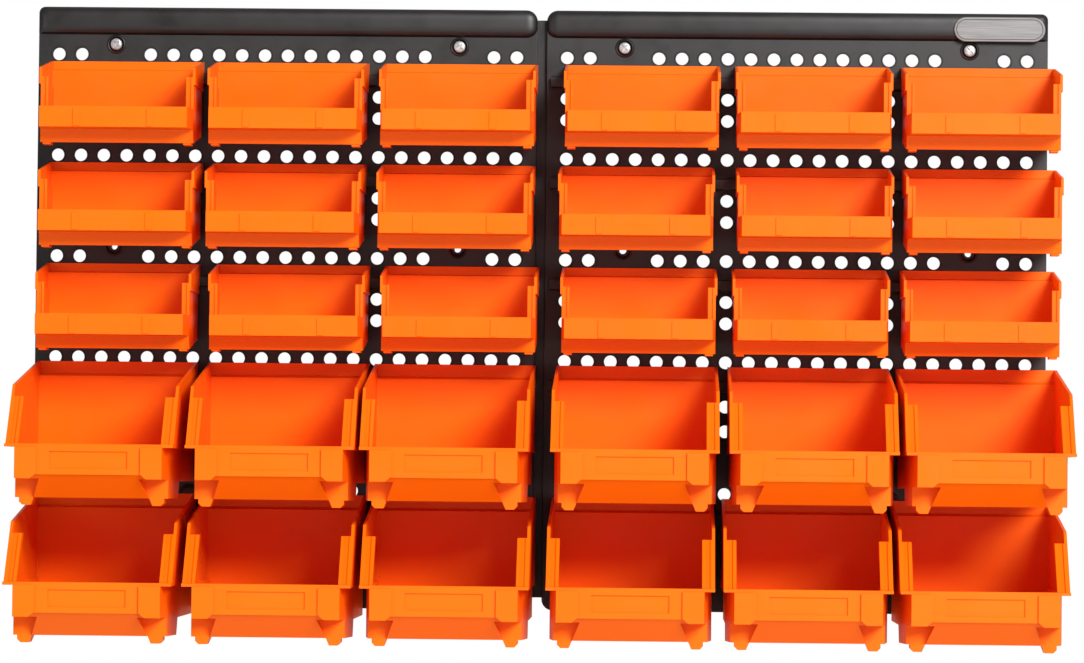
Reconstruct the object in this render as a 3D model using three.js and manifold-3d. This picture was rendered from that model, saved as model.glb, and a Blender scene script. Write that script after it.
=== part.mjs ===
// Wall organiser: two black peg panels joined side by side, with thirty orange bins hung on their rails.
// Millimetres. +X is right, the fronts face -Y, the wall side is +Y, +Z is up.
// The origin is on the back of the joining flange, in the middle of the seam, in the plane of the wall.
import * as THREE from 'three';
import { mergeVertices } from 'three/addons/utils/BufferGeometryUtils.js';
import Module from 'manifold-3d';

const wasm = await Module();
wasm.setup();

const CLEARANCE = 0.3;

// The two panels.
const PANEL_WIDTH = 317;
const PANEL_HEIGHT = 380;
const SEAM_HALF_WIDTH = 3;
const PANEL_DEPTH = 10;
const SHEET = 2.5;
const RIM = 2.5;
const OUTER_CORNER = 4;
const SEAM_CORNER = 7;
const FLANGE_DEPTH = 6;
const FLANGE_TOP = 184;
const FLANGE_BOTTOM = -182;
const RIDGE_HEIGHT = 17.5;
const RIDGE_BULGE = 4;
const STIFFENER = 2;

// The peg holes.
const HOLE_RADIUS = 4;
const HOLE_SIDES = 6;
const HOLE_PITCH = 14.55;
const HOLES_PER_ROW = 21;
const HOLE_MARGIN = 13;
const COLUMN_STEP = 7;
const COLUMN_COUNT = 3;
const FIRST_ROW_Z = 160;
const ROW_PITCH = 64.15;
const LAST_ROW_DROP = 83.25;
const BIN_ROWS = 5;
const SMALL_ROWS = 3;
const BINS_PER_ROW = 6;

// The bosses, which take the place of two peg holes each in rows one, three and five; the lowest are blind.
const BOSS_ROWS = [
  { row: 0, pitches: [2.5, 17.5], rise: 6.4, drilled: true },
  { row: 2, pitches: [2.5, 17.5], rise: 6.4, drilled: true },
  { row: 4, pitches: [5.9, 14.1], rise: -3, drilled: false },
];
const BOSS_RADIUS = 5.5;
const SCREW_HOLE_RADIUS = 2.2;
const SCREW_RADIUS = 1.8;
const SCREW_HEAD_RADIUS = 3.9;
const SCREW_HEAD_HEIGHT = 2.3;
const SCREW_SIDES = 10;

// The upturned rails that the bins hang on.
const RAIL_DROP = 12.1;
const RAIL_HEIGHT = 7;
const RAIL_THICK = 2;
const RAIL_GAP = 3.3;
const RAIL_END_MARGIN = 3;

// The badge on the ridge.
const BADGE_WIDTH = 57.6;
const BADGE_HEIGHT = 15.6;
const BADGE_THICK = 1.2;
const BADGE_X = 289.2;
const BADGE_Z = 179.7;

// The hook plate of a bin runs behind the rail; depths in a bin are counted forward from its back.
const HOOK_BACK = -(PANEL_DEPTH + 0.8);
const WALL_DEPTH = 5.1;
const HOOK_REACH = 4.6;
const BEYOND = 5;

// A bin is a body with full-height side walls, and a nose that narrows forward to the front panel.
// Its rim flares out above the shoulder; the body and nose below have their own half widths.
// Each front post has a shallow channel between its outer rim and its inner strip.
const SMALL_BIN = {
  wall: 1.6,
  lipBelowHoles: 4.8,
  rim: { half: 48.7, depth: 60 },
  body: { half: 47.8, depth: 59 },
  nose: { half: 45.8, depth: 82 },
  shoulder: 19,
  ledge: [5.3, 6.2],
  cheek: [60, 8.7],
  post: { top: 14.3, foot: 60, halfOpening: 43 },
  channel: { near: 44.5, far: 46, deep: 1 },
  front: { top: 34.5, bottom: 47.3, recess: 20.5, slant: 2.5 },
  base: 55.4,
  rearBase: 48.5,
  step: { front: 56, back: 10 },
};

const MEDIUM_BIN = {
  wall: 1.8,
  lipBelowHoles: 2.8,
  rim: { half: 50.9, depth: 155.8 },
  body: { half: 49.3, depth: 107 },
  nose: { half: 44.5, depth: 155.8 },
  shoulder: 55.4,
  ledge: [7.8, 9.4],
  cheek: [120, 17.5],
  post: { top: 24.5, foot: 150, halfOpening: 43.2 },
  channel: { near: 45.3, far: 48.2, deep: 1.5 },
  front: { top: 53.5, bottom: 72, recess: 1, slant: 18 },
  base: 86,
  rearBase: 75.5,
  step: { front: 103, back: 96 },
};

// The stacking notches of a medium bin, under the two ends of its front panel, and the feet behind them.
const NOTCH_DEEP = 20;
const NOTCH_DROP = 74.5;
const NOTCH_INNER = 30.2;
const NOTCH_TAPER = 0.425;
const FOOT_HALF = 44.1;
const FOOT_DROP = 90.5;
const FOOT_LENGTH = 14;

// Where the centre of each bin hangs on its rail, row by row from the left.
const BIN_CENTRES = [
  [-263, -158, -51, 64, 171, 276],
  [-263, -159, -52, 61, 172, 277],
  [-264, -156, -49, 63, 170, 276],
  [-267, -158, -53, 62, 170, 276],
  [-267, -159, -52, 60, 167, 273],
];

const black = new THREE.MeshStandardMaterial({ color: 0x2a2727, roughness: 0.45, metalness: 0 });
const orange = new THREE.MeshStandardMaterial({ color: 0xff6a10, roughness: 0.38, metalness: 0 });
const zinc = new THREE.MeshStandardMaterial({ color: 0xb9bcc0, roughness: 0.3, metalness: 1 });
const silver = new THREE.MeshStandardMaterial({ color: 0x9c9b98, roughness: 0.35, metalness: 0.9 });

// A closed three.js geometry as a solid that can be joined and cut.
function solid(geometry) {
  const bare = geometry.clone();
  bare.deleteAttribute('normal');
  bare.deleteAttribute('uv');
  const merged = mergeVertices(bare, 1e-4);
  return new wasm.Manifold(new wasm.Mesh({
    numProp: 3,
    vertProperties: new Float32Array(merged.attributes.position.array),
    triVerts: new Uint32Array(merged.index.array),
  }));
}

function geometryOf(body) {
  const mesh = body.getMesh();
  const geometry = new THREE.BufferGeometry();
  geometry.setAttribute('position', new THREE.BufferAttribute(mesh.vertProperties, 3));
  geometry.setIndex(new THREE.BufferAttribute(mesh.triVerts, 1));
  geometry.computeVertexNormals();
  return geometry;
}

function union(bodies) {
  return bodies.reduce((joined, body) => joined.add(body));
}

function extrude(shape, length) {
  return new THREE.ExtrudeGeometry(shape, { depth: length, bevelEnabled: false, curveSegments: 4 });
}

function polygon(points) {
  return new THREE.Shape(points.map(([x, y]) => new THREE.Vector2(x, y)));
}

// An outline of (x, z) points, solid from y = front to y = back.
function prismAlongY(shape, front, back) {
  const geometry = extrude(shape, back - front);
  geometry.rotateX(Math.PI / 2);
  geometry.translate(0, back, 0);
  return solid(geometry);
}

// An outline of (y, z) points, solid from x = left to x = right.
function prismAlongX(shape, left, right) {
  const geometry = extrude(shape, right - left);
  const turn = new THREE.Matrix4().set(0, 0, 1, left, 1, 0, 0, 0, 0, 1, 0, 0, 0, 0, 0, 1);
  geometry.applyMatrix4(turn);
  return solid(geometry);
}

function box(left, right, front, back, bottom, top) {
  const geometry = new THREE.BoxGeometry(right - left, back - front, top - bottom);
  geometry.translate((left + right) / 2, (front + back) / 2, (bottom + top) / 2);
  return solid(geometry);
}

function rodAlongY(x, z, radius, front, back, sides) {
  const geometry = new THREE.CylinderGeometry(radius, radius, back - front, sides);
  geometry.translate(x, (front + back) / 2, z);
  return solid(geometry);
}

// A rectangle whose two corners on the left and two on the right have their own radius.
function panelOutline(left, right, bottom, top, leftRadius, rightRadius) {
  const shape = new THREE.Shape();
  shape.absarc(left + leftRadius, bottom + leftRadius, leftRadius, Math.PI, 1.5 * Math.PI);
  shape.absarc(right - rightRadius, bottom + rightRadius, rightRadius, 1.5 * Math.PI, 2 * Math.PI);
  shape.absarc(right - rightRadius, top - rightRadius, rightRadius, 0, 0.5 * Math.PI);
  shape.absarc(left + leftRadius, top - leftRadius, leftRadius, 0.5 * Math.PI, Math.PI);
  return shape;
}

function rowZ(row) {
  const evenRow = Math.min(row, BIN_ROWS - 2);
  const lastDrop = row === BIN_ROWS - 1 ? LAST_ROW_DROP : 0;
  return FIRST_ROW_Z - ROW_PITCH * evenRow - lastDrop;
}

function holeX(panelLeft, pitches) {
  return panelLeft + HOLE_MARGIN + HOLE_PITCH * pitches;
}

function isBossPlace(row, k) {
  const line = BOSS_ROWS.find((candidate) => candidate.row === row);
  return line !== undefined && line.pitches.some((pitches) => Math.abs(k - pitches) < 1);
}

// The centres of every peg hole of one panel: the rows, and the columns between the bins.
function pegHoles(panelLeft) {
  const places = [];
  for (let row = 0; row < BIN_ROWS; row += 1) {
    for (let k = 0; k < HOLES_PER_ROW; k += 1) {
      if (!isBossPlace(row, k)) places.push([holeX(panelLeft, k), rowZ(row)]);
    }
  }
  for (let row = 0; row < BIN_ROWS - 1; row += 1) {
    const drops = row === BIN_ROWS - 2 ? [28, 43.6] : [26, 39.5];
    for (let column = 0; column < COLUMN_COUNT; column += 1) {
      for (const drop of drops) places.push([holeX(panelLeft, column * COLUMN_STEP), rowZ(row) - drop]);
    }
  }
  return places;
}

function holePath(x, z) {
  const path = new THREE.Path();
  for (let side = 0; side < HOLE_SIDES; side += 1) {
    const angle = (2 * Math.PI * side) / HOLE_SIDES;
    const point = [x + HOLE_RADIUS * Math.cos(angle), z + HOLE_RADIUS * Math.sin(angle)];
    if (side === 0) path.moveTo(...point);
    else path.lineTo(...point);
  }
  path.closePath();
  return path;
}

function bossPlaces(panelLeft, lines) {
  return lines.flatMap(({ row, pitches, rise }) => pitches.map((place) => (
    [holeX(panelLeft, place), rowZ(row) + rise]
  )));
}

// The upturned rail below a row of holes: a shelf on the sheet and a lip standing up in front of it.
function rail(left, right, row) {
  const top = rowZ(row) - RAIL_DROP;
  const bottom = top - RAIL_HEIGHT;
  const inner = -(PANEL_DEPTH + RAIL_GAP);
  const section = polygon([
    [-PANEL_DEPTH + SHEET / 2, bottom], [-PANEL_DEPTH + SHEET / 2, bottom + RAIL_THICK],
    [inner, bottom + RAIL_THICK], [inner, top],
    [inner - RAIL_THICK, top], [inner - RAIL_THICK, bottom],
  ]);
  return prismAlongX(section, left + RAIL_END_MARGIN, right - RAIL_END_MARGIN);
}

// The rounded ridge along the top edge.
function ridge(left, right, outline) {
  const top = PANEL_HEIGHT / 2;
  const low = top - RIDGE_HEIGHT;
  const face = -(PANEL_DEPTH + RIDGE_BULGE);
  const section = polygon([
    [-PANEL_DEPTH + SHEET / 2, low], [-PANEL_DEPTH, low], [face + 1, low + 1.6], [face, low + 4],
    [face, top - 4], [face + 1.4, top - 1], [-PANEL_DEPTH, top], [-PANEL_DEPTH + SHEET / 2, top],
  ]);
  return prismAlongX(section, left, right).intersect(prismAlongY(outline, face - 1, 0));
}

// One peg panel: the pierced sheet, its rim, ridge, rails, stiffeners and screw bosses in one moulding.
function panelBody(left, leftRadius, rightRadius) {
  const right = left + PANEL_WIDTH;
  const top = PANEL_HEIGHT / 2;
  const sheetBack = -PANEL_DEPTH + SHEET;
  const outline = panelOutline(left, right, -top, top, leftRadius, rightRadius);
  const pierced = outline.clone();
  pierced.holes = pegHoles(left).map(([x, z]) => holePath(x, z));
  const insideRadii = [leftRadius - RIM / 2, rightRadius - RIM];
  const inside = panelOutline(left + RIM, right - RIM, -top + RIM, top - RIM, ...insideRadii);
  const sheet = prismAlongY(pierced, -PANEL_DEPTH, sheetBack);
  const rim = prismAlongY(outline, sheetBack - SHEET / 2, 0).subtract(prismAlongY(inside, -PANEL_DEPTH, 1));
  const bars = [5.5, 14.5].map((pitches) => {
    const x = holeX(left, pitches);
    return box(x - STIFFENER / 2, x + STIFFENER / 2, sheetBack - SHEET / 2, 0, -top + RIM / 2, top - RIM / 2);
  });
  const drilled = bossPlaces(left, BOSS_ROWS.filter((line) => line.drilled));
  const bosses = bossPlaces(left, BOSS_ROWS).map(([x, z]) => (
    rodAlongY(x, z, BOSS_RADIUS, sheetBack - SHEET / 2, 0, 10)
  ));
  const drills = drilled.map(([x, z]) => rodAlongY(x, z, SCREW_HOLE_RADIUS, -PANEL_DEPTH - 1, 1, 8));
  const rails = Array.from({ length: BIN_ROWS }, (unused, row) => rail(left, right, row));
  const whole = union([sheet, rim, ridge(left, right, outline), ...bars, ...bosses, ...rails]);
  return drills.reduce((body, drill) => body.subtract(drill), whole);
}

// The flange of the left panel that the right panel is butted against.
function joiningFlange() {
  const left = -SEAM_HALF_WIDTH - RIM / 2;
  const right = SEAM_HALF_WIDTH - CLEARANCE;
  return box(left, right, -FLANGE_DEPTH, 0, FLANGE_BOTTOM, FLANGE_TOP);
}

function badge() {
  const half = BADGE_HEIGHT / 2;
  const shape = new THREE.Shape();
  shape.absarc(BADGE_WIDTH / 2 - half, 0, half, -Math.PI / 2, Math.PI / 2);
  shape.absarc(-BADGE_WIDTH / 2 + half, 0, half, Math.PI / 2, 1.5 * Math.PI);
  const back = -(PANEL_DEPTH + RIDGE_BULGE) - CLEARANCE;
  return geometryOf(prismAlongY(shape, back - BADGE_THICK, back));
}

function screw() {
  const seat = -PANEL_DEPTH - CLEARANCE;
  const profile = [
    [0, -CLEARANCE], [SCREW_RADIUS * 0.6, -CLEARANCE], [SCREW_RADIUS, -2], [SCREW_RADIUS, seat],
    [SCREW_HEAD_RADIUS, seat], [SCREW_HEAD_RADIUS, seat - 0.8],
    [SCREW_HEAD_RADIUS * 0.7, seat - SCREW_HEAD_HEIGHT + 0.3], [0, seat - SCREW_HEAD_HEIGHT],
  ].reverse();
  return new THREE.LatheGeometry(profile.map(([r, y]) => new THREE.Vector2(r, y)), SCREW_SIDES);
}

// Bin outlines are written as (depth forward of the hook, height below the lip).
function sideShape(points) {
  return polygon(points.map(([depth, drop]) => [HOOK_BACK - depth, -drop]));
}

// The plan of one level of a bin: as wide as its back as far as the back's depth, then narrowing to its nose.
// An offset grows or shrinks it on both sides.
function planPrism(back, nose, offset, bottom, top) {
  const end = HOOK_BACK - nose.depth;
  const rightSide = [
    [back.half + offset, HOOK_BACK], [back.half + offset, HOOK_BACK - back.depth],
    [nose.half + offset, end], [nose.half + offset, end - BEYOND],
  ];
  const leftSide = rightSide.map(([x, y]) => [-x, y]).reverse();
  const geometry = extrude(polygon([...rightSide, ...leftSide]), top - bottom);
  geometry.translate(0, 0, bottom);
  return solid(geometry);
}

function outerSide(bin) {
  const { front, nose, cheek, post, step, wall } = bin;
  const railTop = RAIL_DROP - bin.lipBelowHoles;
  const under = nose.depth - front.recess;
  return sideShape([
    [0, 0], [1, 0], cheek, [post.foot, front.top], [nose.depth, front.top], [nose.depth, front.bottom],
    [under, front.bottom], [under - front.slant, bin.base], [step.front, bin.base],
    [step.back, bin.rearBase], [WALL_DEPTH, bin.rearBase],
    [WALL_DEPTH, railTop - CLEARANCE], [wall, railTop - CLEARANCE],
    [wall, railTop + HOOK_REACH], [0, railTop + HOOK_REACH],
  ]);
}

function innerSide(bin) {
  const { front, nose, cheek, post, ledge, step, wall } = bin;
  const flange = wall * 1.8;
  const rearFloor = bin.rearBase - wall;
  const under = nose.depth - front.recess - wall;
  return sideShape([
    [wall, -BEYOND], [wall, ledge[0]], [WALL_DEPTH + wall, ledge[1]], [WALL_DEPTH + wall, rearFloor],
    [step.back + wall / 2, rearFloor], [step.front - wall, bin.base - wall],
    [under - front.slant, bin.base - wall], [under, front.bottom - wall],
    [nose.depth - wall, front.bottom - wall],
    [nose.depth - wall, front.top], [post.foot - flange, front.top], [cheek[0] - flange, post.top],
    [nose.depth + BEYOND, post.top], [nose.depth + BEYOND, -BEYOND],
  ]);
}

// The opening between the two front posts, above the front panel.
function throat(bin) {
  const { front, nose, cheek, post } = bin;
  const shape = sideShape([
    [cheek[0] - BEYOND, post.top - 1], [post.foot - BEYOND, front.top],
    [nose.depth + BEYOND, front.top], [nose.depth + BEYOND, post.top - 1],
  ]);
  return prismAlongX(shape, -post.halfOpening, post.halfOpening);
}

// The shallow channels down the fronts of the two posts, following the slope of the cheeks.
function postChannels(bin) {
  const { cheek: [cheekDepth, cheekDrop], post, front, channel } = bin;
  const lean = (post.foot - cheekDepth) / (front.top - cheekDrop);
  const start = post.top - 1;
  const shape = sideShape([
    [cheekDepth + lean * (start - cheekDrop) - channel.deep, start], [post.foot - channel.deep, front.top],
    [post.foot + BEYOND, front.top], [post.foot + BEYOND, start],
  ]);
  return [
    prismAlongX(shape, channel.near, channel.far),
    prismAlongX(shape, -channel.far, -channel.near),
  ];
}

// The hollow moulding that both bins share: walls, stepped floor, sloping cheeks, posts, hook and ledge.
// A hollowed shape is cut out of the outside, and its grown copy is kept out of the inside.
function binShell(bin, cuts = [], keeps = []) {
  const { rim, body, nose, shoulder, wall } = bin;
  const wide = rim.half + BEYOND;
  const rimBack = { half: rim.half, depth: WALL_DEPTH };
  const upper = planPrism(rimBack, rim, 0, -shoulder, BEYOND);
  const lower = planPrism(body, nose, 0, -bin.base - BEYOND, -shoulder + wall / 4);
  const outer = upper.add(lower).intersect(prismAlongX(outerSide(bin), -wide, wide));
  const seat = -shoulder + wall;
  const upperVoid = planPrism(rimBack, rim, -wall, seat, 2 * BEYOND);
  const lowerVoid = planPrism(body, nose, -wall, -bin.base - BEYOND, seat + wall / 4);
  const hollow = upperVoid.add(lowerVoid).intersect(prismAlongX(innerSide(bin), -wide, wide));
  const inside = keeps.reduce((space, keep) => space.subtract(keep), hollow);
  const removed = [inside, throat(bin), ...postChannels(bin), ...cuts];
  return removed.reduce((shell, cut) => shell.subtract(cut), outer);
}

// Both sides of a bin carry the same feature, once as given and once mirrored.
function mirrored(makePiece) {
  return [makePiece(1), makePiece(-1)];
}

function sideBox(side, near, far, frontDepth, backDepth, lowDrop, highDrop) {
  const [left, right] = side > 0 ? [near, far] : [-far, -near];
  return box(left, right, HOOK_BACK - frontDepth, HOOK_BACK - backDepth, -lowDrop, -highDrop);
}

function sideOutline(side, points, frontDepth, backDepth) {
  const ordered = side > 0 ? points : [...points].reverse();
  const shape = polygon(ordered.map(([x, drop]) => [side * x, -drop]));
  return prismAlongY(shape, HOOK_BACK - frontDepth, HOOK_BACK - backDepth);
}

// Two short ribs on the back keep the bin upright against the sheet.
function backRibs({ rearBase }) {
  return mirrored((side) => sideBox(side, 28, 30, WALL_DEPTH + 0.2, -0.4, rearBase - 2, rearBase - 14));
}

function smallBin() {
  const { front: { top, bottom }, nose: { depth }, body, base } = SMALL_BIN;
  const ribs = mirrored((side) => sideBox(side, 20.8, 24.8, depth + 0.7, depth - 0.3, bottom - 0.6, top + 1.6));
  const footFront = body.depth - 0.6;
  const feet = mirrored((side) => sideBox(side, 41.4, 46.4, footFront, footFront - 11.4, base + 1.2, base - 1));
  return geometryOf(union([binShell(SMALL_BIN), ...ribs, ...feet, ...backRibs(SMALL_BIN)]));
}

// The stacking notches: the outside loses them, and the inside stays a wall's thickness clear of them.
function notches(grow) {
  const { nose: { depth }, rim, base } = MEDIUM_BIN;
  const far = rim.half + BEYOND;
  const low = base + BEYOND;
  const outline = [
    [NOTCH_INNER - grow, NOTCH_DROP - grow], [far, NOTCH_DROP - grow],
    [far, low], [NOTCH_INNER - grow + NOTCH_TAPER * (low - NOTCH_DROP), low],
  ];
  return mirrored((side) => sideOutline(side, outline, depth + BEYOND, depth - NOTCH_DEEP - grow));
}

function mediumFeet() {
  const front = MEDIUM_BIN.nose.depth - NOTCH_DEEP;
  const outline = [
    [NOTCH_INNER, NOTCH_DROP], [FOOT_HALF, NOTCH_DROP - 1], [FOOT_HALF, FOOT_DROP - 2],
    [FOOT_HALF - 2, FOOT_DROP], [NOTCH_INNER + NOTCH_TAPER * (FOOT_DROP - NOTCH_DROP), FOOT_DROP],
  ];
  return mirrored((side) => sideOutline(side, outline, front, front - FOOT_LENGTH));
}

function mediumBin() {
  const { front: { top, bottom }, nose: { depth, half }, wall } = MEDIUM_BIN;
  const low = NOTCH_DROP;
  const block = [[half, top + 2], [half, low], [35, low], [31.4, bottom - 0.5], [31.4, top + 2]];
  const blocks = mirrored((side) => sideOutline(side, block, depth + 1.5, depth - 1));
  const shell = binShell(MEDIUM_BIN, notches(0), notches(wall));
  const label = box(-23.5, 23.5, HOOK_BACK - depth - 1, HOOK_BACK - depth + 1.1, -top - 15, -top - 4.5);
  return geometryOf(union([shell, ...blocks, ...mediumFeet(), ...backRibs(MEDIUM_BIN)]).subtract(label));
}

function place(group, name, geometry, material, x = 0, y = 0, z = 0) {
  const mesh = new THREE.Mesh(geometry, material);
  mesh.name = name;
  mesh.position.set(x, y, z);
  group.add(mesh);
}

const organiser = new THREE.Group();

const leftPanelX = -SEAM_HALF_WIDTH - PANEL_WIDTH;
const rightPanelX = SEAM_HALF_WIDTH;
const leftPanel = panelBody(leftPanelX, OUTER_CORNER, SEAM_CORNER).add(joiningFlange());
place(organiser, 'panel_left', geometryOf(leftPanel), black);
place(organiser, 'panel_right', geometryOf(panelBody(rightPanelX, SEAM_CORNER, OUTER_CORNER)), black);
place(organiser, 'badge_plate', badge(), silver, BADGE_X, 0, BADGE_Z);

// Only the top bosses carry screws; the ones lower down are free.
for (const [side, panelX] of [['left', leftPanelX], ['right', rightPanelX]]) {
  bossPlaces(panelX, BOSS_ROWS.slice(0, 1)).forEach(([x, z], index) => {
    place(organiser, `screw_${side}_${index + 1}`, screw(), zinc, x, 0, z);
  });
}

const smallGeometry = smallBin();
const mediumGeometry = mediumBin();
for (let row = 0; row < BIN_ROWS; row += 1) {
  const small = row < SMALL_ROWS;
  const lipZ = rowZ(row) - (small ? SMALL_BIN : MEDIUM_BIN).lipBelowHoles;
  for (let column = 0; column < BINS_PER_ROW; column += 1) {
    const name = `bin_${small ? 'small' : 'medium'}_r${row + 1}_c${column + 1}`;
    place(organiser, name, small ? smallGeometry : mediumGeometry, orange, BIN_CENTRES[row][column], 0, lipZ);
  }
}

export default organiser;
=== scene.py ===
import math
import bmesh
import bpy
from mathutils import Matrix, Vector


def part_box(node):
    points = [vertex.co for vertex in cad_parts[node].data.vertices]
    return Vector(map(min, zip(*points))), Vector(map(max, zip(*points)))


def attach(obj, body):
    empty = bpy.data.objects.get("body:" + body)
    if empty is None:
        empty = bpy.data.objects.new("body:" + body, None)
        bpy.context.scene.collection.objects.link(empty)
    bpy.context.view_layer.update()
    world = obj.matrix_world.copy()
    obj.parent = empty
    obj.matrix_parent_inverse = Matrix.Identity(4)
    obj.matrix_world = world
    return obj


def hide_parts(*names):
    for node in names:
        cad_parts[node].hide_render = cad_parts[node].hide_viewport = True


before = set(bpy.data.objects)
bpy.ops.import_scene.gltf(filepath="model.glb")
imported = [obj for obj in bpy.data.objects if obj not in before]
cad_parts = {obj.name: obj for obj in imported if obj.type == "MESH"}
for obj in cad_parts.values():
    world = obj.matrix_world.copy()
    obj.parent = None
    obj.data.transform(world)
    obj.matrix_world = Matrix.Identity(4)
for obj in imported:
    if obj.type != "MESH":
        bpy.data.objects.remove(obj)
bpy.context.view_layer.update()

MM = 0.001
BOARD = "wall_board"

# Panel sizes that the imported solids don't state, in millimetres. The rest is read from their boxes.
SHEET = 2.5
SHEET_FRONT = -10.0
RIDGE_HEIGHT = 17.5
RIDGE_BULGE = 4.0
RIDGE_END = 7.0
OUTER_CORNER = 4.0
SEAM_CORNER = 7.0
SEAM_HALF = 3.0
RIM = 2.5
HOLE_RADIUS = 4.0
HOLE_PITCH = 14.55
HOLE_MARGIN = 13.0
HOLES_PER_ROW = 21
ROWS = 5
FIRST_ROW_Z = 160.0
ROW_PITCH = 64.15
LAST_ROW_DROP = 83.25
RAIL_DROP = 12.1
RAIL_HEIGHT = 7.0
RAIL_THICK = 2.0
RAIL_GAP = 3.3
RAIL_END_MARGIN = 3.0
PANEL_WIDTH = 317.0

# The bosses: each line is a row, the bosses' places along it in hole pitches, and their rise above it.
BOSS_LINES = ((0, (2.5, 17.5), 6.4), (2, (2.5, 17.5), 6.4), (4, (5.9, 14.1), -3.0))
BLIND_ROW = 4
DISH_RADIUS = 5.4
SCREW_HOLE = 2.2

# The columns of peg holes between the bins: the hole that each hangs below, and the drops under a row.
COLUMN_HOLES = (0, 7, 14)
COLUMN_DROPS = (26.0, 39.5)
LAST_COLUMN_DROPS = (28.0, 43.6)

# The ridge: how square its bulge is, and how much of an end's rounding its lower edge takes.
RIDGE_SQUARENESS = 3.2
SEAM_FOOT_ROUNDING = 0.9
OUTER_FOOT_ROUNDING = 0.2

# The back: the stiffeners' places in hole pitches, and the flange behind the seam.
STIFFENER_PITCHES = (5.5, 14.5)
FLANGE_FRONT = -6.0
FLANGE_BOTTOM = -182.0
FLANGE_TOP = 184.0

# How finely round shapes are divided.
HOLE_STEPS = 28
DISH_STEPS = 32
BOSS_STEPS = 40
RIDGE_STEPS = 14

# The bins' moulded edges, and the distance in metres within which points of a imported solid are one.
BIN_EDGE = 0.45
BIN_EDGE_SEGMENTS = 3
WELD_DISTANCE = 0.00002

# The floor, in millimetres.
FLOOR_Z = -335.0
FLOOR_HALF = 3000.0
FLOOR_BEHIND = 1500.0
FLOOR_THICK = 10.0

# The lamps' places, targets and sizes in metres, and their powers in watts.
KEY_PLACE = (2.0, -4.1, 1.75)
KEY_TARGET = (0.0, 0.0, -0.1)
KEY_SIZE = (1.7, 1.5)
KEY_POWER = 300.0
FILL_PLACE = (-2.2, -2.4, 0.2)
FILL_TARGET = (0.0, 0.0, 0.0)
FILL_SIZE = (1.2, 1.2)
FILL_POWER = 9.0

# The room's own light, as a linear colour.
ROOM_LIGHT = (0.31, 0.29, 0.28)

# The camera: sensor and lens in millimetres, place in metres, and turns in degrees.
SENSOR_WIDTH = 36.0
LENS = 162.5
CAMERA_PLACE = (0.0771, -3.1053, -0.1076)
CAMERA_PITCH = 1.737
CAMERA_ROLL = -0.577
CAMERA_YAW = 1.378

# The bins' plastic, as linear colours.
ORANGE = (0.98, 0.15, 0.0019)
ORANGE_DEEP = (0.98, 0.136, 0.0014)
ORANGE_BATCH = (0.98, 0.142, 0.0017)

# The two tones that each of the other finishes drifts between, as linear colours.
BLACK_TONES = ((0.006, 0.0051, 0.0052), (0.0095, 0.0082, 0.0084))
ZINC_TONES = ((0.34, 0.35, 0.355), (0.56, 0.565, 0.56))
SILVER_TONES = ((0.15, 0.15, 0.148), (0.24, 0.24, 0.236))
ENAMEL_TONES = ((0.03, 0.028, 0.027), (0.045, 0.042, 0.04))
FLOOR_TONES = ((0.8, 0.8, 0.79), (0.84, 0.84, 0.83))


# ---------------------------------------------------------------- materials

def new_material(name):
    material = bpy.data.materials.new(name)
    material.use_nodes = True
    return material, material.node_tree.nodes, material.node_tree.links


def noise(nodes, links, vector, scale, detail=3.0, roughness=0.5):
    node = nodes.new("ShaderNodeTexNoise")
    node.inputs["Scale"].default_value = scale
    node.inputs["Detail"].default_value = detail
    node.inputs["Roughness"].default_value = roughness
    links.new(vector, node.inputs["Vector"])
    return node.outputs["Fac"]


def ramp(nodes, links, value, low, high, start=0.3, end=0.7):
    node = nodes.new("ShaderNodeMapRange")
    node.inputs["From Min"].default_value = start
    node.inputs["From Max"].default_value = end
    node.inputs["To Min"].default_value = low
    node.inputs["To Max"].default_value = high
    links.new(value, node.inputs["Value"])
    return node.outputs["Result"]


def blend_colour(nodes, links, factor, first, second):
    node = nodes.new("ShaderNodeMix")
    node.data_type = "RGBA"
    for socket, colour in ((node.inputs[6], first), (node.inputs[7], second)):
        if isinstance(colour, tuple):
            socket.default_value = (*colour, 1.0)
        else:
            links.new(colour, socket)
    links.new(factor, node.inputs[0])
    return node.outputs[2]


def bump(nodes, links, height, strength, distance, normal=None):
    node = nodes.new("ShaderNodeBump")
    node.inputs["Strength"].default_value = strength
    node.inputs["Distance"].default_value = distance
    links.new(height, node.inputs["Height"])
    if normal is not None:
        links.new(normal, node.inputs["Normal"])
    return node.outputs["Normal"]


def own_coordinates(nodes, links):
    """Object coordinates moved by the object's own random number, so that no two pieces share a grain."""
    place = nodes.new("ShaderNodeTexCoord")
    info = nodes.new("ShaderNodeObjectInfo")
    shift = nodes.new("ShaderNodeVectorMath")
    shift.operation = "ADD"
    links.new(place.outputs["Object"], shift.inputs[0])
    links.new(info.outputs["Random"], shift.inputs[1])
    return shift.outputs["Vector"], info.outputs["Random"]


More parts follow.
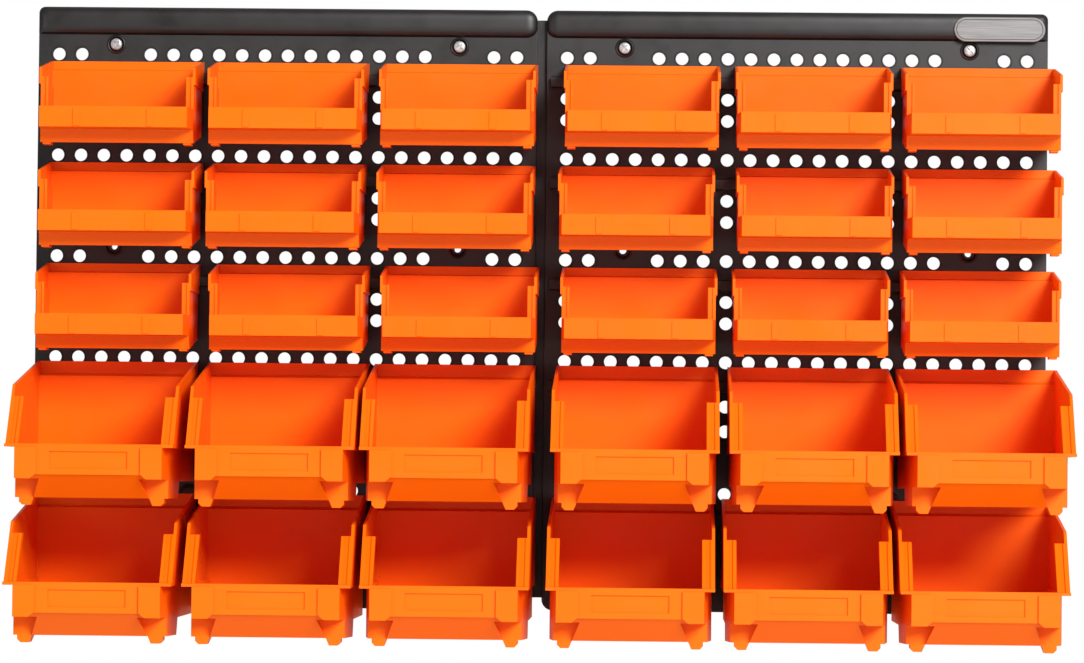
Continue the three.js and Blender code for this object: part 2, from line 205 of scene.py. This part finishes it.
def orange_plastic():
    """Semi-gloss moulded polypropylene: even colour, faint flow marks, and a fine skin."""
    material, nodes, links = new_material("orange_polypropylene")
    shader = nodes["Principled BSDF"]
    place, chance = own_coordinates(nodes, links)
    cloud = noise(nodes, links, place, scale=14.0, detail=2.0)
    tone = blend_colour(nodes, links, ramp(nodes, links, cloud, 0.0, 1.0), ORANGE_DEEP, ORANGE)
    batch = blend_colour(nodes, links, ramp(nodes, links, chance, 0.0, 0.5, 0.0, 1.0), tone, ORANGE_BATCH)
    links.new(batch, shader.inputs["Base Color"])
    sheen = noise(nodes, links, place, scale=55.0, detail=4.0)
    links.new(ramp(nodes, links, sheen, 0.3, 0.42), shader.inputs["Roughness"])
    pores = noise(nodes, links, place, scale=1400.0, detail=2.0)
    skin = bump(nodes, links, pores, strength=0.06, distance=0.0002)
    swirl = noise(nodes, links, place, scale=38.0, detail=2.0)
    flow = bump(nodes, links, swirl, strength=0.05, distance=0.0009, normal=skin)
    links.new(flow, shader.inputs["Normal"])
    shader.inputs["IOR"].default_value = 1.49
    shader.inputs["Specular IOR Level"].default_value = 0.16
    return material


def black_plastic():
    """Satin black polypropylene with a fine moulded grain and faint handling marks."""
    material, nodes, links = new_material("black_polypropylene")
    shader = nodes["Principled BSDF"]
    place, _ = own_coordinates(nodes, links)
    cloud = noise(nodes, links, place, scale=9.0, detail=4.0)
    patches = ramp(nodes, links, cloud, 0.0, 1.0)
    colour = blend_colour(nodes, links, patches, *BLACK_TONES)
    links.new(colour, shader.inputs["Base Color"])
    marks = noise(nodes, links, place, scale=42.0, detail=6.0, roughness=0.65)
    links.new(ramp(nodes, links, marks, 0.33, 0.52), shader.inputs["Roughness"])
    pores = noise(nodes, links, place, scale=2200.0, detail=2.0)
    grain = bump(nodes, links, pores, strength=0.12, distance=0.00015)
    swirl = noise(nodes, links, place, scale=26.0, detail=2.0)
    wave = bump(nodes, links, swirl, strength=0.12, distance=0.0012, normal=grain)
    links.new(wave, shader.inputs["Normal"])
    shader.inputs["IOR"].default_value = 1.5
    shader.inputs["Specular IOR Level"].default_value = 0.5
    return material


def zinc_plate():
    """Bright zinc plate, slightly clouded."""
    material, nodes, links = new_material("zinc_plate")
    shader = nodes["Principled BSDF"]
    place, _ = own_coordinates(nodes, links)
    cloud = noise(nodes, links, place, scale=700.0, detail=3.0)
    patches = ramp(nodes, links, cloud, 0.0, 1.0)
    colour = blend_colour(nodes, links, patches, *ZINC_TONES)
    links.new(colour, shader.inputs["Base Color"])
    links.new(ramp(nodes, links, cloud, 0.3, 0.48), shader.inputs["Roughness"])
    shader.inputs["Metallic"].default_value = 0.55
    return material


def satin_silver():
    """Satin silver finish of the blank badge, with a brushed grain along its length."""
    material, nodes, links = new_material("satin_silver")
    shader = nodes["Principled BSDF"]
    place, _ = own_coordinates(nodes, links)
    stretch = nodes.new("ShaderNodeMapping")
    stretch.inputs["Scale"].default_value = (40.0, 900.0, 900.0)
    links.new(place, stretch.inputs["Vector"])
    brushed = noise(nodes, links, stretch.outputs["Vector"], scale=1.0, detail=2.0)
    streaks = ramp(nodes, links, brushed, 0.0, 1.0)
    colour = blend_colour(nodes, links, streaks, *SILVER_TONES)
    links.new(colour, shader.inputs["Base Color"])
    links.new(ramp(nodes, links, brushed, 0.42, 0.56), shader.inputs["Roughness"])
    shader.inputs["Metallic"].default_value = 0.35
    return material


def dark_enamel():
    """The dark line inside the badge's edge."""
    material, nodes, links = new_material("dark_enamel")
    shader = nodes["Principled BSDF"]
    place, _ = own_coordinates(nodes, links)
    cloud = noise(nodes, links, place, scale=500.0, detail=2.0)
    colour = blend_colour(nodes, links, cloud, *ENAMEL_TONES)
    links.new(colour, shader.inputs["Base Color"])
    shader.inputs["Roughness"].default_value = 0.4
    return material


def pale_floor():
    """A matt pale floor, very slightly uneven in tone."""
    material, nodes, links = new_material("pale_floor")
    shader = nodes["Principled BSDF"]
    place, _ = own_coordinates(nodes, links)
    cloud = noise(nodes, links, place, scale=3.0, detail=2.0)
    colour = blend_colour(nodes, links, cloud, *FLOOR_TONES)
    links.new(colour, shader.inputs["Base Color"])
    shader.inputs["Roughness"].default_value = 0.6
    return material


# ---------------------------------------------------------------- mesh tools

def link(name, mesh, material, location=(0.0, 0.0, 0.0)):
    piece = bpy.data.objects.new(name, mesh)
    bpy.context.scene.collection.objects.link(piece)
    piece.location = location
    mesh.materials.clear()
    mesh.materials.append(material)
    return piece


def mesh_of(name, build):
    """A mesh in metres from a bmesh function that works in millimetres."""
    shape = bmesh.new()
    build(shape)
    bmesh.ops.scale(shape, vec=(MM, MM, MM), verts=shape.verts)
    bmesh.ops.recalc_face_normals(shape, faces=shape.faces)
    mesh = bpy.data.meshes.new(name)
    shape.to_mesh(mesh)
    shape.free()
    return mesh


def add_box(shape, low, high):
    size = Vector(high) - Vector(low)
    centre = (Vector(high) + Vector(low)) / 2
    matrix = Matrix.Translation(centre) @ Matrix.Diagonal((*size, 1.0))
    bmesh.ops.create_cube(shape, size=1.0, matrix=matrix)


def add_prism(shape, outline, across, start, end):
    """An outline of two-number points swept along the axis named by across, from start to end."""
    def point(a, b, along):
        return (along, a, b) if across == "x" else (a, along, b)
    rings = [[shape.verts.new(point(a, b, along)) for a, b in outline] for along in (start, end)]
    count = len(outline)
    for i in range(count):
        j = (i + 1) % count
        shape.faces.new((rings[0][i], rings[0][j], rings[1][j], rings[1][i]))
    shape.faces.new(rings[0])
    shape.faces.new(list(reversed(rings[1])))


def add_lathe(shape, profile, x, z, steps):
    """A closed profile of (radius, y) points turned round the line through (x, z) along Y."""
    rings = []
    for step in range(steps):
        angle = 2 * math.pi * step / steps
        across, up = math.cos(angle), math.sin(angle)
        rings.append([shape.verts.new((x + r * across, y, z + r * up)) for r, y in profile])
    for step in range(steps):
        here, there = rings[step], rings[(step + 1) % steps]
        for i in range(len(profile)):
            j = (i + 1) % len(profile)
            shape.faces.new((here[i], here[j], there[j], there[i]))


def smooth_by_angle(mesh, degrees):
    mesh.shade_smooth()
    mesh.set_sharp_from_angle(angle=math.radians(degrees))


def bevelled(piece, width, segments, degrees=25.0):
    """Rounded moulding edges, with the flat faces kept flat."""
    modifier = piece.modifiers.new("edges", "BEVEL")
    modifier.width = width * MM
    modifier.segments = segments
    modifier.limit_method = "ANGLE"
    modifier.angle_limit = math.radians(degrees)
    modifier.harden_normals = False
    flat = piece.modifiers.new("flat_faces", "WEIGHTED_NORMAL")
    flat.keep_sharp = True
    flat.weight = 80


def baked_mesh(piece, name):
    """The piece's mesh with its modifiers applied; the piece itself is removed."""
    graph = bpy.context.evaluated_depsgraph_get()
    mesh = bpy.data.meshes.new_from_object(piece.evaluated_get(graph))
    mesh.name = name
    bpy.data.objects.remove(piece)
    return mesh


# ---------------------------------------------------------------- panels

def row_z(row):
    return FIRST_ROW_Z - ROW_PITCH * min(row, ROWS - 2) - (LAST_ROW_DROP if row == ROWS - 1 else 0.0)


def hole_x(left, pitches):
    return left + HOLE_MARGIN + HOLE_PITCH * pitches


def is_boss_place(row, k):
    """Whether a boss takes the place of peg hole k in a row."""
    pitches = [place for line, places, _ in BOSS_LINES if line == row for place in places]
    return any(abs(k - place) < 1 for place in pitches)


def peg_holes(left):
    """The centres of a panel's peg holes: the rows, and the columns between the bins."""
    places = []
    for row in range(ROWS):
        free = (k for k in range(HOLES_PER_ROW) if not is_boss_place(row, k))
        places += [(hole_x(left, k), row_z(row)) for k in free]
    for row in range(ROWS - 1):
        drops = LAST_COLUMN_DROPS if row == ROWS - 2 else COLUMN_DROPS
        for k in COLUMN_HOLES:
            places += [(hole_x(left, k), row_z(row) - drop) for drop in drops]
    return places


def boss_places(left, blind):
    lines = [line for line in BOSS_LINES if (line[0] == BLIND_ROW) == blind]
    return [(hole_x(left, place), row_z(row) + rise) for row, pitches, rise in lines for place in pitches]


def rounded_rectangle(left, right, bottom, top, left_radius, right_radius, steps=8):
    corners = (
        (right - right_radius, top - right_radius, right_radius, 0.0),
        (left + left_radius, top - left_radius, left_radius, 0.5),
        (left + left_radius, bottom + left_radius, left_radius, 1.0),
        (right - right_radius, bottom + right_radius, right_radius, 1.5),
    )
    points = []
    for x, z, radius, quarter in corners:
        for step in range(steps + 1):
            angle = math.pi * (quarter + 0.5 * step / steps)
            points.append((x + radius * math.cos(angle), z + radius * math.sin(angle)))
    return points


def circle(x, z, radius, steps):
    turns = (2 * math.pi * step / steps for step in range(steps))
    return [(x + radius * math.cos(turn), z + radius * math.sin(turn)) for turn in turns]


def pierced_sheet(name, outlines, front, back, edge):
    """A flat sheet from an outer outline and its holes, with every edge rounded."""
    curve = bpy.data.curves.new(name, "CURVE")
    curve.dimensions = "2D"
    curve.fill_mode = "BOTH"
    curve.extrude = (back - front) / 2 * MM - edge * MM
    curve.bevel_depth = edge * MM
    curve.bevel_resolution = 2
    curve.offset = -edge * MM
    for outline in outlines:
        spline = curve.splines.new("POLY")
        spline.points.add(len(outline) - 1)
        for point, (x, z) in zip(spline.points, outline):
            point.co = (x * MM, z * MM, 0.0, 1.0)
        spline.use_cyclic_u = True
    piece = bpy.data.objects.new(name, curve)
    bpy.context.scene.collection.objects.link(piece)
    mesh = baked_mesh(piece, name)
    turn = Matrix.Rotation(math.pi / 2, 4, "X")
    mesh.transform(Matrix.Translation((0.0, (front + back) / 2 * MM, 0.0)) @ turn)
    return mesh


def add_hole_rim(shape, x, z):
    """The faint raised ring round a peg hole."""
    low, high = SHEET_FRONT + 0.4, SHEET_FRONT - 0.45
    inner, outer = HOLE_RADIUS + 0.02, HOLE_RADIUS + 1.3
    profile = [
        (inner, low), (inner, high + 0.2), (inner + 0.3, high), (outer - 0.5, high), (outer, low),
    ]
    add_lathe(shape, profile, x, z, HOLE_STEPS)


def add_boss(shape, x, z):
    """A dished seat for a screw in front of the sheet, and its tube behind."""
    profile = [
        (SCREW_HOLE, 0.0), (SCREW_HOLE, -8.9), (3.9, -9.1), (4.5, -9.7), (4.8, -10.5), (5.2, -10.7),
        (5.7, -10.5), (6.3, SHEET_FRONT + 0.2), (5.5, SHEET_FRONT + 1.5), (5.5, 0.0),
    ]
    add_lathe(shape, profile, x, z, BOSS_STEPS)


def add_blind_boss(shape, x, z):
    """A closed boss: a dome with a raised ring round it, and its stub behind the sheet.

    The ring stands 0.3 mm further out than the backs of the bins in front of it, which it cuts into.
    """
    profile = [
        (0.02, -10.5), (2.5, -10.4), (4.2, SHEET_FRONT - 0.05), (5.0, -10.9), (5.6, -11.1), (6.2, -10.9),
        (6.8, SHEET_FRONT + 0.2), (5.5, SHEET_FRONT + 1.5), (5.5, 0.0), (0.02, 0.0),
    ]
    add_lathe(shape, profile, x, z, BOSS_STEPS)


def add_ridge(shape, left, right, left_radius, right_radius):
    """The bulging ridge along the top, rounded over at both ends."""
    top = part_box("panel_left")[1].z / MM
    low = top - RIDGE_HEIGHT
    stations = [0.0, 0.15, 0.6, 1.3, 2.4, 3.8, 5.4, RIDGE_END]
    xs = [left + s for s in stations] + [right - s for s in reversed(stations)]
    rings = []
    for x in xs:
        reach = min(x - left, right - x)
        radius = left_radius if x - left < right - x else right_radius
        rounding = radius - math.sqrt(max(0.0, radius ** 2 - max(0.0, radius - reach) ** 2))
        foot_rounding = SEAM_FOOT_ROUNDING if radius == SEAM_CORNER else OUTER_FOOT_ROUNDING
        foot = low + rounding * foot_rounding
        swell = math.sqrt(max(0.0, 1 - (max(0.0, RIDGE_END - reach) / RIDGE_END) ** 2))
        ring = []
        for step in range(RIDGE_STEPS + 1):
            t = step / RIDGE_STEPS
            bulge = RIDGE_BULGE * swell * (1 - abs(2 * t - 1) ** RIDGE_SQUARENESS) ** 0.5
            z = foot + (top - rounding - foot) * t
            ring.append(shape.verts.new((x, SHEET_FRONT - 0.05 - bulge, z)))
        ring.append(shape.verts.new((x, SHEET_FRONT + SHEET, top - rounding)))
        ring.append(shape.verts.new((x, SHEET_FRONT + SHEET, foot)))
        rings.append(ring)
    count = len(rings[0])
    for here, there in zip(rings, rings[1:]):
        for i in range(count):
            j = (i + 1) % count
            shape.faces.new((here[i], here[j], there[j], there[i]))
    shape.faces.new(list(reversed(rings[0])))
    shape.faces.new(rings[-1])


def add_rail(shape, left, right, row):
    """An upturned rail: a shelf standing off the sheet and a lip up in front, with a rounded top edge."""
    top = row_z(row) - RAIL_DROP
    bottom = top - RAIL_HEIGHT
    inner = SHEET_FRONT - RAIL_GAP
    outer = inner - RAIL_THICK
    section = [
        (SHEET_FRONT + 0.5, bottom), (SHEET_FRONT + 0.5, bottom + RAIL_THICK),
        (inner, bottom + RAIL_THICK), (inner, top - 0.4), (inner - 0.5, top),
        (outer + 0.6, top), (outer, top - 0.6), (outer, bottom + 1.2),
        (outer + 0.35, bottom + 0.35), (outer + 1.2, bottom),
    ]
    add_prism(shape, section, "x", left + RAIL_END_MARGIN, right - RAIL_END_MARGIN)


def panel_frame_mesh(name, node, left_radius, right_radius):
    """Everything of a panel but its pierced sheet: rim, ridge, rails, bosses, hole rims and stiffeners."""
    low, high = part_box(node)
    left = -SEAM_HALF - PANEL_WIDTH if node == "panel_left" else SEAM_HALF
    right = left + PANEL_WIDTH
    top, bottom = high.z / MM, low.z / MM

    def build(shape):
        back = SHEET_FRONT + SHEET
        outer = rounded_rectangle(left, right, bottom, top, left_radius, right_radius)
        inner_radii = (left_radius - RIM / 2, right_radius - RIM / 2)
        inner = rounded_rectangle(left + RIM, right - RIM, bottom + RIM, top - RIM, *inner_radii)
        start = back - SHEET / 2
        loops = ((outer, start), (outer, -0.4), (outer, 0.0), (inner, 0.0), (inner, start))
        rings = [[shape.verts.new((x, y, z)) for x, z in points] for points, y in loops]
        for here, there in zip(rings, rings[1:] + rings[:1]):
            for i in range(len(here)):
                j = (i + 1) % len(here)
                shape.faces.new((here[i], here[j], there[j], there[i]))
        add_ridge(shape, left, right, left_radius, right_radius)
        for row in range(ROWS):
            add_rail(shape, left, right, row)
        for x, z in boss_places(left, blind=False):
            add_boss(shape, x, z)
        for x, z in boss_places(left, blind=True):
            add_blind_boss(shape, x, z)
        for x, z in peg_holes(left):
            add_hole_rim(shape, x, z)
        for pitches in STIFFENER_PITCHES:
            x = hole_x(left, pitches)
            add_box(shape, (x - 1, back - 1, bottom + 1), (x + 1, 0.0, top - 1))
        if node == "panel_left":
            flange_low = (-SEAM_HALF - 1, FLANGE_FRONT, FLANGE_BOTTOM)
            add_box(shape, flange_low, (SEAM_HALF + 0.4, 0.0, FLANGE_TOP))

    return mesh_of(name, build), left, right, bottom, top


def make_panel(node, material, left_radius, right_radius):
    """One panel: its pierced sheet joined to the rest of the moulding, standing for the CAD node."""
    mesh, left, right, bottom, top = panel_frame_mesh(node + "_frame", node, left_radius, right_radius)
    outlines = [rounded_rectangle(left, right, bottom, top, left_radius, right_radius)]
    outlines += [circle(x, z, HOLE_RADIUS, HOLE_STEPS) for x, z in peg_holes(left)]
    outlines += [circle(x, z, DISH_RADIUS, DISH_STEPS) for x, z in boss_places(left, blind=False)]
    sheet = pierced_sheet(node + "_sheet", outlines, SHEET_FRONT, SHEET_FRONT + SHEET, 0.35)
    shape = bmesh.new()
    shape.from_mesh(mesh)
    shape.from_mesh(sheet)
    whole = bpy.data.meshes.new(node + "_moulding")
    shape.to_mesh(whole)
    shape.free()
    smooth_by_angle(whole, 32.0)
    piece = link(node + "_moulding", whole, material)
    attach(piece, BOARD)
    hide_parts(node)
    return piece


# ---------------------------------------------------------------- screws and badge

def screw_mesh(low, high):
    """A domed cross-head screw round its own axis, with its head seated in the boss."""
    radius = (high.x - low.x) / MM / 2
    front = low.y / MM + 0.5

    def build(shape):
        profile = [
            (0.02, front), (radius * 0.6, front + 0.06), (radius * 0.84, front + 0.22),
            (radius * 0.96, front + 0.6), (radius, front + 1.1), (radius * 0.92, front + 1.6),
            (1.8, front + 1.9), (1.8, -2.0), (1.1, -0.4), (0.02, -0.4),
        ]
        add_lathe(shape, profile, 0.0, 0.0, 36)
        bmesh.ops.remove_doubles(shape, verts=shape.verts, dist=0.05)

    def cross(shape):
        for angle in (45, 135):
            start = len(shape.verts)
            add_box(shape, (-2.5, front - 1.0, -0.5), (2.5, front + 0.9, 0.5))
            shape.verts.ensure_lookup_table()
            turn = Matrix.Rotation(math.radians(angle), 3, "Y")
            bmesh.ops.rotate(shape, verts=shape.verts[start:], matrix=turn)

    body = link("screw_body", mesh_of("screw_body", build), bpy.data.materials["zinc_plate"])
    cutter = link("screw_cross", mesh_of("screw_cross", cross), bpy.data.materials["zinc_plate"])
    cut = body.modifiers.new("cross", "BOOLEAN")
    cut.operation = "DIFFERENCE"
    cut.solver = "EXACT"
    cut.use_self = True
    cut.object = cutter
    mesh = baked_mesh(body, "screw_head")
    bpy.data.objects.remove(cutter)
    smooth_by_angle(mesh, 35.0)
    return mesh


def make_screws(material):
    names = [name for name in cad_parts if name.startswith("screw_")]
    low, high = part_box(names[0])
    mesh = screw_mesh(low, high)
    for name in names:
        low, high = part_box(name)
        centre = (low + high) / 2
        piece = link(name + "_cross_head", mesh, material, (centre.x, 0.0, centre.z))
        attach(piece, BOARD)
        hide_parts(name)


def stadium(width, height, steps=16):
    half = height / 2
    straight = width / 2 - half
    points = []
    for side, start in ((1, -0.5), (-1, 0.5)):
        for step in range(steps + 1):
            angle = math.pi * (start + step / steps)
            points.append((side * straight + half * math.cos(angle), half * math.sin(angle)))
    return points


def make_badge(silver, dark):
    """A blank badge: a domed-edge plate with a fine dark line inside its rim."""
    low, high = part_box("badge_plate")
    centre = (low + high) / 2
    width, height = (high.x - low.x) / MM, (high.z - low.z) / MM
    front, back = low.y / MM + 0.15, high.y / MM
    plate = pierced_sheet("badge_blank", [stadium(width, height)], front, back + 0.25, 0.4)
    smooth_by_angle(plate, 40.0)
    outlines = [stadium(width - inset, height - inset) for inset in (2.6, 3.6)]
    line = pierced_sheet("badge_line", outlines, front - 0.12, front + 0.4, 0.05)
    for name, mesh, material in (("badge_blank", plate, silver), ("badge_line", line, dark)):
        piece = link(name, mesh, material, (centre.x, 0.0, centre.z))
        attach(piece, BOARD)
        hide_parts("badge_plate")


# ---------------------------------------------------------------- bins

def bin_mesh(node, name, material):
    """The moulding of one bin about its own hanging point, with rounded edges."""
    low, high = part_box(node)
    origin = Vector(((low.x + high.x) / 2, 0.0, high.z))
    shape = bmesh.new()
    shape.from_mesh(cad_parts[node].data)
    bmesh.ops.translate(shape, vec=-origin, verts=shape.verts)
    bmesh.ops.remove_doubles(shape, verts=shape.verts, dist=WELD_DISTANCE)
    almost_flat = math.radians(0.6)
    bmesh.ops.dissolve_limit(shape, angle_limit=almost_flat, verts=shape.verts, edges=shape.edges)
    mesh = bpy.data.meshes.new(name)
    shape.to_mesh(mesh)
    shape.free()
    piece = link(name, mesh, material)
    mesh.shade_smooth()
    bevelled(piece, BIN_EDGE, BIN_EDGE_SEGMENTS)
    return baked_mesh(piece, name)


def make_bins(material):
    for size in ("small", "medium"):
        names = sorted(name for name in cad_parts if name.startswith(f"bin_{size}_"))
        mesh = bin_mesh(names[0], f"{size}_bin_moulding", material)
        for name in names:
            low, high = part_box(name)
            piece = link(name + "_moulding", mesh, material, ((low.x + high.x) / 2, 0.0, high.z))
            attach(piece, name)
            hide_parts(name)


# ---------------------------------------------------------------- stage, light and camera

def make_stage():
    """A wide pale floor below the hanging bins."""
    def build(shape):
        low = (-FLOOR_HALF, -FLOOR_HALF, FLOOR_Z - FLOOR_THICK)
        add_box(shape, low, (FLOOR_HALF, FLOOR_BEHIND, FLOOR_Z))

    link("floor", mesh_of("floor", build), pale_floor())


def area_light(name, place, target, size, power):
    """A rectangular lamp at a place, turned to face its target."""
    data = bpy.data.lights.new(name, "AREA")
    data.shape = "RECTANGLE"
    data.size, data.size_y = size
    data.energy = power
    lamp = bpy.data.objects.new(name, data)
    bpy.context.scene.collection.objects.link(lamp)
    lamp.location = place
    lamp.rotation_euler = (Vector(target) - Vector(place)).to_track_quat("-Z", "Y").to_euler()


def make_world():
    """A white room: white behind the object, dimmer as a light so that the lamps shape it."""
    world = bpy.data.worlds.new("studio")
    world.use_nodes = True
    nodes, links = world.node_tree.nodes, world.node_tree.links
    seen = nodes["Background"]
    seen.inputs["Color"].default_value = (1.0, 1.0, 1.0, 1.0)
    cast = nodes.new("ShaderNodeBackground")
    cast.inputs["Color"].default_value = (*ROOM_LIGHT, 1.0)
    path = nodes.new("ShaderNodeLightPath")
    either = nodes.new("ShaderNodeMixShader")
    links.new(path.outputs["Is Camera Ray"], either.inputs[0])
    links.new(cast.outputs[0], either.inputs[1])
    links.new(seen.outputs[0], either.inputs[2])
    links.new(either.outputs[0], nodes["World Output"].inputs["Surface"])
    bpy.context.scene.world = world


def make_light():
    """A large key from the upper right, which the deep bins keep off the row below, and a weak fill."""
    make_world()
    area_light("key", KEY_PLACE, KEY_TARGET, KEY_SIZE, KEY_POWER)
    area_light("fill", FILL_PLACE, FILL_TARGET, FILL_SIZE, FILL_POWER)


def make_camera():
    """A long lens, nearly square to the panels, rolled by about half a degree."""
    data = bpy.data.cameras.new("camera")
    data.sensor_fit = "HORIZONTAL"
    data.sensor_width = SENSOR_WIDTH
    data.lens = LENS
    data.clip_end = 50.0
    camera = bpy.data.objects.new("camera", data)
    bpy.context.scene.collection.objects.link(camera)
    pitch, roll, yaw = (math.radians(turn) for turn in (CAMERA_PITCH, CAMERA_ROLL, CAMERA_YAW))
    turn = Matrix.Rotation(yaw, 4, "Z") @ Matrix.Rotation(roll, 4, "Y") @ Matrix.Rotation(pitch, 4, "X")
    look = Matrix.Rotation(math.pi / 2, 4, "X")
    camera.matrix_world = Matrix.Translation(CAMERA_PLACE) @ turn @ look
    bpy.context.scene.camera = camera


bpy.context.scene.view_settings.view_transform = "Standard"
orange, black, zinc = orange_plastic(), black_plastic(), zinc_plate()
make_camera()
make_light()
make_stage()
make_panel("panel_left", black, OUTER_CORNER, SEAM_CORNER)
make_panel("panel_right", black, SEAM_CORNER, OUTER_CORNER)
make_screws(zinc)
make_badge(satin_silver(), dark_enamel())
make_bins(orange)
